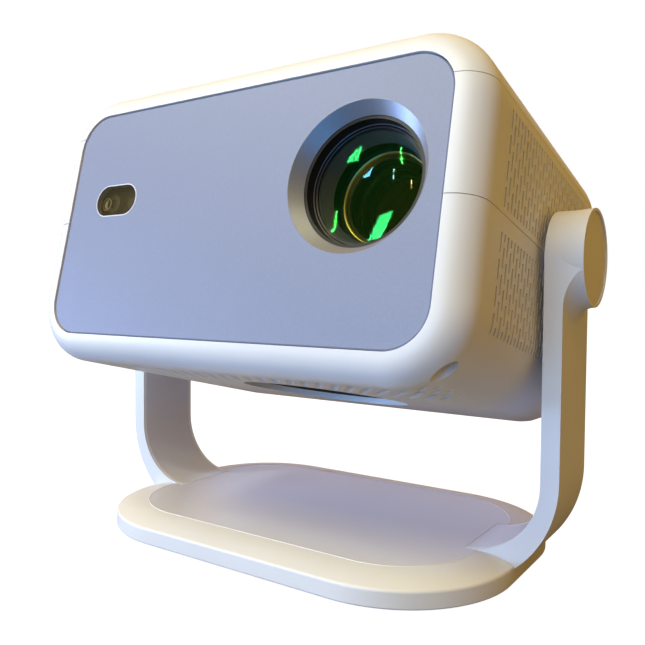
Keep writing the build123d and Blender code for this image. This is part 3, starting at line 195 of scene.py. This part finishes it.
def moulded_plastic(name, colour, roughness, grain=0.35 * millimetre, grain_depth=0.02 * millimetre):
    """Satin moulded plastic: fine tool grain, faint tone drift and uneven gloss."""
    tone_drift = 0.02
    gloss_drift = 0.05
    material, tree, shader, place = start_finish(name)
    drift = clouds(tree, place, scale=22.0, detail=3.0)
    tone = two_tones(tree, drift, shade(colour, 1 - tone_drift), shade(colour, 1 + tone_drift),
                     start=0.3, end=0.7)
    gloss = between(tree, drift, roughness - gloss_drift, roughness + gloss_drift)
    tree.links.new(tone, shader.inputs["Base Color"])
    tree.links.new(gloss, shader.inputs["Roughness"])
    relief(tree, shader, clouds(tree, place, scale=1 / grain, detail=2.0), grain_depth, strength=0.35)
    return material


def paint(material, *names):
    """Gives CAD nodes a finish through their own material slots."""
    for name in names:
        for material_slot in nodes[name].material_slots:
            material_slot.material = material


casing_white = moulded_plastic("casing_white", (0.80, 0.79, 0.78), 0.42)
paint(casing_white, "lower_shell", "upper_shell", "top_cover", "base_shell", "right_arm", "left_arm")
cap_white = moulded_plastic("cap_white", (0.74, 0.71, 0.66), 0.38)
paint(cap_white, "right_pivot_cap", "left_pivot_cap", "power_button")
# The pad and the arm covers get a darker lavender grey than the casing: painted shade, standing in for
# the cool shade they lie in beside and under the head.
inlay_painted_shade = moulded_plastic("inlay_painted_shade", (0.66, 0.64, 0.68), 0.32)
paint(inlay_painted_shade, "base_pad", "right_arm_cover", "left_arm_cover")


# ---- Edge lines of the inlays ----
# The base pad and the arm covers have a fine polished bevel round the face that shows. It is drawn as a
# thin bead in a paler white than the casing and the inlays: a painted highlight beside the joint.

same_point = 0.001 * millimetre
pad_face_height = 9.5 * millimetre
pad_bead = 0.16 * millimetre
cover_bead = 0.13 * millimetre
# How far a face has to look one way to count as facing that way.
squarely = 0.99
mostly = 0.9
partly = 0.5


def face_outline(node, shows, beyond):
    """Chains of points where the faces that show meet the faces beyond them."""
    shape = bmesh.new()
    shape.from_mesh(node.data)
    shape.transform(node.matrix_world)
    bmesh.ops.remove_doubles(shape, verts=shape.verts, dist=same_point)
    shape.normal_update()
    reached = {}
    for edge in shape.edges:
        if len(edge.link_faces) != 2:
            continue
        one, other = edge.link_faces
        if (shows(one) and beyond(other)) or (shows(other) and beyond(one)):
            for here, there in (edge.verts, reversed(edge.verts)):
                reached.setdefault(here.index, []).append(there.index)
    points = {vert.index: vert.co.copy() for vert in shape.verts}
    shape.free()
    chains = []
    ends = [index for index, beside in reached.items() if len(beside) == 1]
    waiting = set(reached)
    for start in sorted(ends) + sorted(reached):
        if start not in waiting:
            continue
        chain = [start]
        waiting.remove(start)
        while True:
            following = [index for index in reached[chain[-1]] if index in waiting]
            if not following:
                break
            chain.append(following[0])
            waiting.remove(following[0])
        closed = len(chain) > 2 and start in reached[chain[-1]]
        if len(chain) > 2:
            chains.append(([points[index] for index in chain], closed))
    return chains


def fit_piece(name, shape, place, body, material, smooth=True):
    """Sets a finished shape in its place, as a named piece that rides on a body."""
    bmesh.ops.recalc_face_normals(shape, faces=shape.faces)
    shape.transform(place)
    mesh = bpy.data.meshes.new(name)
    shape.to_mesh(mesh)
    shape.free()
    for face in mesh.polygons:
        face.use_smooth = smooth
    mesh.materials.append(material)
    piece = bpy.data.objects.new(name, mesh)
    bpy.context.scene.collection.objects.link(piece)
    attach(piece, body)


def bevel_line(name, chains, radius, body, material):
    """Thin bead run along chains of points."""
    sides = 8
    turns = [2 * math.pi * side / sides for side in range(sides)]
    shape = bmesh.new()
    for chain, closed in chains:
        rings = []
        last_across = Vector()
        for step, point in enumerate(chain):
            before = chain[step - 1] if step or closed else point
            after = chain[(step + 1) % len(chain)] if step < len(chain) - 1 or closed else point
            along = (after - before).normalized()
            if abs(along.z) > mostly:
                across = along.orthogonal().normalized()
            else:
                across = along.cross((0, 0, 1)).normalized()
            if across.dot(last_across) < 0:
                across = -across
            last_across = across
            lift = along.cross(across)
            rings.append([
                shape.verts.new(point + radius * (across * math.cos(turn) + lift * math.sin(turn)))
                for turn in turns])
        for here, there in zip(rings, rings[1:] + (rings[:1] if closed else [])):
            for side in range(sides):
                beside = (side + 1) % sides
                shape.faces.new((here[side], here[beside], there[beside], there[side]))
    fit_piece(name, shape, Matrix.Identity(4), body, material)


# Painted highlight: the bead's pale white stands in for the light that the bevel catches.
bevel_painted_highlight = moulded_plastic("bevel_painted_highlight", (0.88, 0.87, 0.86), 0.22)
pad_chains = face_outline(
    nodes["base_pad"],
    lambda face: face.normal.z > squarely and face.calc_center_median().z > pad_face_height,
    lambda face: abs(face.normal.z) < partly)
bevel_line("pad_bevel", pad_chains, pad_bead, "stand", bevel_painted_highlight)
for side_name, side in (("right", 1), ("left", -1)):
    cover_chains = face_outline(
        nodes[side_name + "_arm_cover"],
        lambda face: abs(face.normal.y) < partly and face.normal.z - side * face.normal.x > partly,
        lambda face: abs(face.normal.y) > mostly)
    bevel_line(side_name + "_cover_bevel", cover_chains, cover_bead, "stand", bevel_painted_highlight)


# ---- Front panel ----
# Injection-moulded plate sprayed in blue-grey paint with a very fine metal flake, set a little
# below the shells' rim. Its lens opening runs back in a cone turned with fine rings.

tilt_height = joints["head_tilt"]["pos_m"][2]
aim = Vector(joints["lens_focus"]["axis"])
head_up = aim.cross(Vector((1, 0, 0)))
head_place = Matrix.Translation((0, 0, tilt_height)) @ Matrix((
    (1, 0, 0, 0),
    (0, -aim.y, head_up.y, 0),
    (0, -aim.z, head_up.z, 0),
    (0, 0, 0, 1)))
front_y = -75 * millimetre
lens_x = 56.2 * millimetre
lens_z = 9.0 * millimetre


def cells(tree, place, size):
    """Pattern of small cells, each with a tone of its own and a distance from its middle."""
    pattern = tree.nodes.new("ShaderNodeTexVoronoi")
    pattern.inputs["Scale"].default_value = 1 / size
    tree.links.new(place, pattern.inputs["Vector"])
    return pattern.outputs


def flake_paint(name, colour, metal, roughness):
    """Sprayed paint with fine flakes that tip the surface normal and its tone from spot to spot."""
    flake = 0.25 * millimetre
    flake_tilt = 0.01 * millimetre
    flake_tone = 0.07
    cloud_tone = 0.03
    material, tree, shader, place = start_finish(name)
    shader.inputs["Metallic"].default_value = metal
    shader.inputs["Roughness"].default_value = roughness
    flakes = cells(tree, place, flake)["Color"]
    cloud = clouds(tree, place, scale=30.0, detail=3.0)
    tone = tree.nodes.new("ShaderNodeMath")
    tone.operation = "MULTIPLY"
    tree.links.new(between(tree, flakes, 1 - flake_tone, 1 + flake_tone), tone.inputs[0])
    tree.links.new(between(tree, cloud, 1 - cloud_tone, 1 + cloud_tone), tone.inputs[1])
    coat = tree.nodes.new("ShaderNodeVectorMath")
    coat.operation = "SCALE"
    coat.inputs[0].default_value = colour
    tree.links.new(tone.outputs["Value"], coat.inputs["Scale"])
    tree.links.new(coat.outputs["Vector"], shader.inputs["Base Color"])
    relief(tree, shader, flakes, flake_tilt, strength=0.25)
    return material


def turned(name, profile, body, material, segments=192, smooth=True, middle=(lens_x, lens_z)):
    """Piece turned about an axis along the lens, from (radius, depth behind the front face) points."""
    turns = [2 * math.pi * step / segments for step in range(segments)]
    shape = bmesh.new()
    rings = []
    for radius, depth in profile:
        y = front_y + depth
        if radius < same_point:
            rings.append([shape.verts.new((middle[0], y, middle[1]))])
            continue
        rings.append([
            shape.verts.new((middle[0] + radius * math.cos(turn), y, middle[1] + radius * math.sin(turn)))
            for turn in turns])
    for here, there in zip(rings, rings[1:]):
        for step in range(segments):
            after = (step + 1) % segments
            if len(here) == 1:
                shape.faces.new((here[0], there[after], there[step]))
            elif len(there) == 1:
                shape.faces.new((here[step], here[after], there[0]))
            else:
                shape.faces.new((here[step], here[after], there[after], there[step]))
    fit_piece(name, shape, head_place, body, material, smooth)


panel_paint = flake_paint("panel_paint", (0.245, 0.275, 0.385), 0.12, 0.55)
paint(panel_paint, "front_panel")

# Spun ring pressed into the panel's cone: its face is cut with fine concentric grooves whose roots
# lean back a little. Each edge of the ring is a radius and a depth behind the front face.
bezel_front = (26.62 * millimetre, 0.62 * millimetre)
bezel_back = (23.22 * millimetre, 5.75 * millimetre)
bezel_skin = 0.05 * millimetre
bezel_grooves = 26
bezel_groove_depth = 0.06 * millimetre
groove_lean = 0.4


def grooved_ring(name, front, back, skin, grooves, groove_depth, body, material):
    """Thin cone with shallow V grooves, each one a crest and a root, between its front and back edges."""
    cone = []
    for step in range(2 * grooves + 1):
        share = step / (2 * grooves)
        inward = groove_depth if step % 2 else 0.0
        cone.append((front[0] + (back[0] - front[0]) * share + inward - groove_depth,
                     front[1] + (back[1] - front[1]) * share + inward * groove_lean))
    rear = [(back[0] + skin, back[1]), (front[0] + skin, front[1])]
    turned(name, cone + rear + cone[:1], body, material, segments=256, smooth=False)


bezel_paint = flake_paint("bezel_paint", (0.26, 0.27, 0.30), 0.45, 0.36)
grooved_ring("bezel_ring", bezel_front, bezel_back, bezel_skin, bezel_grooves, bezel_groove_depth,
             "head", bezel_paint)


# ---- Autofocus window ----
# Smoke-tinted acrylic plate, polished, snapped into the panel with a bright edge around it: a thin pale
# strip over the chamfer of the panel's cutout, a painted highlight. The ranging camera's little round
# lens just shows through.

window_x = -60.6 * millimetre
window_z = 8.9 * millimetre
window_length = 24.0 * millimetre
window_height = 13.0 * millimetre
camera_offset = 9.8 * millimetre
camera_x = window_x - camera_offset


def clear_body(tree, tint):
    """Tinted body that the light passes through."""
    clear = tree.nodes.new("ShaderNodeBsdfTransparent")
    clear.inputs["Color"].default_value = (*tint, 1.0)
    return clear.outputs["BSDF"]


def mixed(tree, one, other):
    """Mixes two ways of taking the light, and gives the place of the second one's share."""
    mix = tree.nodes.new("ShaderNodeMixShader")
    tree.links.new(one, mix.inputs[1])
    tree.links.new(other, mix.inputs[2])
    tree.links.new(mix.outputs["Shader"], tree.nodes["Material Output"].inputs["Surface"])
    return mix.inputs["Fac"]


def smoked_plate(name, body, tint, clear_share, roughness):
    """Cloudy tinted plastic: part of the light passes, part is thrown back by its body and its polish."""
    cloudiness = 0.15
    material, tree, shader, place = start_finish(name)
    shader.inputs["Roughness"].default_value = roughness
    cloud = clouds(tree, place, scale=180.0, detail=3.0)
    tone = two_tones(tree, cloud, shade(body, 1 - cloudiness), shade(body, 1 + cloudiness),
                     start=0.35, end=0.65)
    tree.links.new(tone, shader.inputs["Base Color"])
    passing = mixed(tree, shader.outputs["BSDF"], clear_body(tree, tint))
    passing.default_value = clear_share
    return material


def slot_loop(length, height, points=24):
    """Outline of a straight slot with round ends, about its middle."""
    half = length / 2 - height / 2
    outline = []
    for end, start in ((1, -90), (-1, 90)):
        for step in range(points + 1):
            turn = math.radians(start + 180 * step / points)
            outline.append((end * half + height / 2 * math.cos(turn), height / 2 * math.sin(turn)))
    return outline


def slot_ring(name, loops, body, material, middle):
    """Strip skinned over matching slot outlines, each with its own depth."""
    shape = bmesh.new()
    rings = [[shape.verts.new((middle[0] + x, front_y + depth, middle[1] + z)) for x, z in loop]
             for loop, depth in loops]
    for here, there in zip(rings, rings[1:] + rings[:1]):
        for step in range(len(here)):
            after = (step + 1) % len(here)
            shape.faces.new((here[step], here[after], there[after], there[step]))
    fit_piece(name, shape, head_place, body, material, smooth=False)


def metres(profile):
    """Line of (radius, depth) points given in millimetres."""
    return [(radius * millimetre, depth * millimetre) for radius, depth in profile]


def closed_ring(name, profile, body, material, segments=192, middle=(lens_x, lens_z)):
    """Solid ring turned from a line of (radius, depth) points in millimetres, closed on itself."""
    turned(name, metres(profile + profile[:1]), body, material, segments=segments, middle=middle)


window_tint = smoked_plate("window_tint", (0.165, 0.135, 0.072), (0.95, 0.90, 0.74), 0.82, 0.07)
paint(window_tint, "sensor_window")

# Painted highlight: the pale strip stands in for the light that the cutout's chamfer catches.
rim_painted_highlight = moulded_plastic("rim_painted_highlight", (0.78, 0.80, 0.86), 0.3)
rim_width = 0.42 * millimetre
rim_clearance = 0.02 * millimetre
rim_foot = 0.60 * millimetre
rim_outer_edge = 0.54 * millimetre
rim_inner_edge = 0.50 * millimetre
outer_loop = slot_loop(window_length + 2 * rim_width, window_height + 2 * rim_width)
inner_loop = slot_loop(window_length + rim_clearance, window_height + rim_clearance)
slot_ring("window_rim", [(outer_loop, rim_foot), (outer_loop, rim_outer_edge),
                         (inner_loop, rim_inner_edge), (inner_loop, rim_foot)],
          "head", rim_painted_highlight, (window_x, window_z))

sensor_black = moulded_plastic("sensor_black", (0.03, 0.03, 0.028), 0.5)
paint(sensor_black, "focus_sensor")
# The camera's rim and little dome are painted pale grey-olive and cream: a painted reflection, standing
# in for the whitish ring and glint that the small lens throws back.
camera_ring_painted_reflection = moulded_plastic("camera_ring_painted_reflection", (0.42, 0.40, 0.34), 0.35)
closed_ring("camera_ring", [(2.25, 4.02), (2.3, 3.92), (2.9, 3.88), (3.0, 3.98), (3.0, 4.02)],
            "head", camera_ring_painted_reflection, segments=64, middle=(camera_x, window_z))
camera_glass_painted_reflection = moulded_plastic("camera_glass_painted_reflection", (0.90, 0.87, 0.76), 0.12)
camera_dome = [(0.0, 4.04), (0.7, 4.06), (1.3, 4.12), (1.8, 4.22), (2.15, 4.36), (0.0, 4.6)]
turned("camera_glass", metres(camera_dome), "head", camera_glass_painted_reflection,
       segments=64, middle=(camera_x, window_z))


# ---- Lens barrel ----
# Black moulded barrel. A slim polished lip and a screwed retaining ring hold the front glass, and
# the cone behind the glass is cut with fine anti-glare steps down to the second element.

black_moulding = moulded_plastic("black_moulding", (0.012, 0.012, 0.013), 0.45)
paint(black_moulding, "lens_barrel", "lens_housing")

lip_black = moulded_plastic("lip_black", (0.10, 0.10, 0.10), 0.22)
closed_ring("lip_ring", [(21.52, 10.02), (21.54, 9.93), (21.66, 9.87), (21.84, 9.87), (21.96, 9.93),
                         (21.98, 10.02)], "lens", lip_black)
retainer_black = moulded_plastic("retainer_black", (0.016, 0.016, 0.018), 0.3)
closed_ring("retaining_ring", [(20.60, 10.68), (20.62, 10.52), (20.72, 10.44), (21.32, 10.44),
                               (21.42, 10.52), (21.44, 10.68)], "lens", retainer_black)

baffle_black = moulded_plastic("baffle_black", (0.045, 0.048, 0.060), 0.30,
                               grain=0.4 * millimetre, grain_depth=0.06 * millimetre)
baffle_front = (19.94 * millimetre, 11.62 * millimetre)
baffle_back = (18.14 * millimetre, 17.50 * millimetre)
baffle_skin = 0.02 * millimetre
baffle_steps = 24
baffle_step_depth = 0.07 * millimetre
grooved_ring("baffle_ring", baffle_front, baffle_back, baffle_skin, baffle_steps, baffle_step_depth,
             "lens", baffle_black)

# Turned metal spacers between the inner elements. Their dark gold is a painted reflection: it stands in
# for the golden glints of the coatings in front of them.
spacer_painted_glint_gold = flake_paint("spacer_painted_glint_gold", (0.50, 0.36, 0.16), 0.9, 0.30)
closed_ring("front_spacer", [(17.38, 23.2), (17.1, 23.2), (16.4, 24.2), (16.35, 25.0), (15.9, 25.2),
                             (15.85, 26.5), (17.38, 26.5)], "lens", spacer_painted_glint_gold)
closed_ring("rear_spacer", [(14.38, 32.7), (14.1, 32.7), (13.5, 34.5), (13.2, 34.6), (12.9, 37.5),
                            (14.38, 37.5)], "lens", spacer_painted_glint_gold)


# ---- Lens glass ----
# Coated elements. Almost all light passes, and what the coatings throw back is green on the front
# element, blue on the second, rose and amber on those behind.

def coated_glass(name, tint, coating, strength, most=0.03):
    """Clear glass with a coloured anti-glare coating that shows in its reflections, up to a set share."""
    clean_roughness = 0.002
    smeared_roughness = 0.008
    material, tree, shader, place = start_finish(name)
    tree.nodes.remove(shader)
    sheen = tree.nodes.new("ShaderNodeBsdfGlossy")
    sheen.inputs["Color"].default_value = (*coating, 1.0)
    smears = clouds(tree, place, scale=90.0, detail=2.0)
    polish = between(tree, smears, clean_roughness, smeared_roughness)
    tree.links.new(polish, sheen.inputs["Roughness"])
    facing = tree.nodes.new("ShaderNodeFresnel")
    facing.inputs["IOR"].default_value = 1.5
    share = tree.nodes.new("ShaderNodeMath")
    share.operation = "MULTIPLY"
    share.inputs[1].default_value = strength
    capped = tree.nodes.new("ShaderNodeMath")
    capped.operation = "MINIMUM"
    capped.inputs[1].default_value = most
    tree.links.new(facing.outputs["Fac"], share.inputs[0])
    tree.links.new(share.outputs["Value"], capped.inputs[0])
    thrown_back = mixed(tree, clear_body(tree, tint), sheen.outputs["BSDF"])
    tree.links.new(capped.outputs["Value"], thrown_back)
    return material


front_glass = coated_glass("front_glass", (0.97, 0.99, 0.96), (0.06, 1.0, 0.25), 0.30, most=0.018)
paint(front_glass, "front_lens")
second_glass = coated_glass("second_glass", (0.95, 0.98, 0.88), (0.16, 0.48, 1.0), 0.60)
paint(second_glass, "second_lens")
middle_glass = coated_glass("middle_glass", (0.92, 0.95, 0.80), (1.0, 0.55, 0.45), 0.30)
paint(middle_glass, "middle_lens")
rear_glass = coated_glass("rear_glass", (0.85, 0.88, 0.70), (1.0, 0.70, 0.15), 0.40)
paint(rear_glass, "rear_lens", "condenser_lens", "field_lens")

# The soft boxes are kept off the glass, which mirrors only the two openings and the room.
beside_glass = bpy.data.collections.new("beside_glass")
for name in ("front_lens", "second_lens", "middle_lens", "rear_lens"):
    beside_glass.objects.link(nodes[name])
for member in beside_glass.collection_objects:
    member.light_linking.link_state = "EXCLUDE"
for box in soft_boxes:
    box.light_linking.receiver_collection = beside_glass


# ---- Black mouldings ----
# Engine housing, intake cover, port plate, fans, inlet, jack and speakers: glass-filled plastic with
# a coarser spark-eroded grain than the casing. The intake cover is the dullest, and the fans are
# glossier so that dust does not settle on them.

frame_black = moulded_plastic("frame_black", (0.020, 0.020, 0.022), 0.50,
                              grain=0.5 * millimetre, grain_depth=0.04 * millimetre)
paint(frame_black, "engine_housing", "power_inlet", "audio_jack", "left_speaker", "right_speaker")
intake_black = moulded_plastic("intake_black", (0.040, 0.028, 0.016), 0.85,
                               grain=0.6 * millimetre, grain_depth=0.06 * millimetre)
intake_black.node_tree.nodes["Principled BSDF"].inputs["Specular IOR Level"].default_value = 0.12
paint(intake_black, "intake_cover")
plate_grey = moulded_plastic("plate_grey", (0.11, 0.11, 0.12), 0.46,
                             grain=0.6 * millimetre, grain_depth=0.05 * millimetre)
paint(plate_grey, "rear_port_plate")
fan_black = moulded_plastic("fan_black", (0.016, 0.016, 0.018), 0.28, grain=0.9 * millimetre)
paint(fan_black, "exhaust_fan_frame", "exhaust_fan_rotor", "intake_fan_frame", "intake_fan_rotor")


# ---- Rubber sole and dust filter ----
# A non-slip sole cut from soft rubber sheet and dulled by talc, stuck under the base, and a disc of
# open-cell foam that lies over the intake and keeps the dust out.

def soft_sheet(name, colour, pore, depth):
    """Dull sheet with round pores, its tone falling off into them as painted shade."""
    pore_shade = 0.45
    pore_edge = 0.6
    material, tree, shader, place = start_finish(name)
    shader.inputs["Roughness"].default_value = 0.9
    shader.inputs["Sheen Weight"].default_value = 0.15
    pores = cells(tree, place, pore)["Distance"]
    tone = two_tones(tree, pores, shade(colour, pore_shade), colour, end=pore_edge)
    tree.links.new(tone, shader.inputs["Base Color"])
    relief(tree, shader, pores, depth)
    return material


sole_rubber = soft_sheet("sole_rubber", (0.045, 0.045, 0.047), 0.6 * millimetre, 0.03 * millimetre)
paint(sole_rubber, "rubber_sole")
filter_foam = soft_sheet("filter_foam", (0.055, 0.055, 0.058), 0.9 * millimetre, 0.4 * millimetre)
paint(filter_foam, "dust_filter")


# ---- Plated steel and drawn metal ----
# Zinc-plated screws, bolts, washers, nuts, turned hubs, the rolled screw that drives the lens, and
# the ballast plate in the base; a drawn motor can, and a heat sink of extruded aluminium.

def plated_metal(name, colour, roughness, stretch=(60.0, 60.0, 900.0), scratch=0.01 * millimetre):
    """Metal with fine drawn lines along one way and a slow change of gloss."""
    gloss_drift = 0.08
    line_shade = 0.86
    material, tree, shader, place = start_finish(name)
    shader.inputs["Metallic"].default_value = 1.0
    drawn = tree.nodes.new("ShaderNodeMapping")
    drawn.inputs["Scale"].default_value = stretch
    tree.links.new(place, drawn.inputs["Vector"])
    lines = clouds(tree, drawn.outputs["Vector"], scale=12.0, detail=4.0)
    gloss = between(tree, lines, roughness - gloss_drift, roughness + gloss_drift)
    tone = two_tones(tree, lines, shade(colour, line_shade), colour)
    tree.links.new(gloss, shader.inputs["Roughness"])
    tree.links.new(tone, shader.inputs["Base Color"])
    relief(tree, shader, lines, scratch, strength=0.3)
    return material


zinc_steel = plated_metal("zinc_steel", (0.60, 0.60, 0.62), 0.32)
paint(zinc_steel, "base_screws", "board_screws", "cover_screws", "housing_screws", "friction_washers",
      "pivot_nuts", "left_pivot_bolt", "right_pivot_bolt", "left_pivot_hub", "right_pivot_hub",
      "ballast_plate", "focus_screw")
motor_steel = plated_metal("motor_steel", (0.52, 0.52, 0.54), 0.30)
paint(motor_steel, "focus_motor")
sink_aluminium = plated_metal("sink_aluminium", (0.74, 0.75, 0.77), 0.38, stretch=(500.0, 20.0, 500.0))
paint(sink_aluminium, "heat_sink")


# ---- Circuit boards and lamp ----
# Glass-fibre boards under green solder mask, with tinned copper tracks showing faintly through it,
# and the lamp's white ceramic carrier.

def solder_mask(name, mask, track):
    """Board green with fine square tracks that stand a little proud."""
    patch_shade = 0.82
    material, tree, shader, place = start_finish(name)
    shader.inputs["Roughness"].default_value = 0.34
    tracks = tree.nodes.new("ShaderNodeTexBrick")
    tracks.inputs["Scale"].default_value = 260.0
    tracks.inputs["Mortar Size"].default_value = 0.03
    tracks.inputs["Color1"].default_value = (*mask, 1.0)
    tracks.inputs["Color2"].default_value = (*shade(mask, patch_shade), 1.0)
    tracks.inputs["Mortar"].default_value = (*track, 1.0)
    tree.links.new(place, tracks.inputs["Vector"])
    tree.links.new(tracks.outputs["Color"], shader.inputs["Base Color"])
    relief(tree, shader, tracks.outputs["Fac"], 0.04 * millimetre, strength=0.4)
    return material


board_green = solder_mask("board_green", (0.012, 0.090, 0.035), (0.10, 0.28, 0.10))
paint(board_green, "mainboard", "power_board", "button_board")
lamp_ceramic = moulded_plastic("lamp_ceramic", (0.74, 0.73, 0.66), 0.55, grain=0.2 * millimetre)
paint(lamp_ceramic, "led_module")


# ---- Sockets, image panel and mirror ----
# Nickel-plated socket shells, the image panel's dark polarised glass, and the front-silvered glass
# that folds the light into the lens.

socket_nickel = plated_metal("socket_nickel", (0.66, 0.64, 0.60), 0.26, stretch=(400.0, 40.0, 40.0))
paint(socket_nickel, "port_sockets")
panel_glass = smoked_plate("panel_glass", (0.020, 0.024, 0.034), (0.40, 0.44, 0.55), 0.3, 0.05)
paint(panel_glass, "lcd_panel")
front_silver = plated_metal("front_silver", (0.90, 0.91, 0.93), 0.10, stretch=(3.0, 3.0, 3.0),
                            scratch=0.001 * millimetre)
paint(front_silver, "folding_mirror")
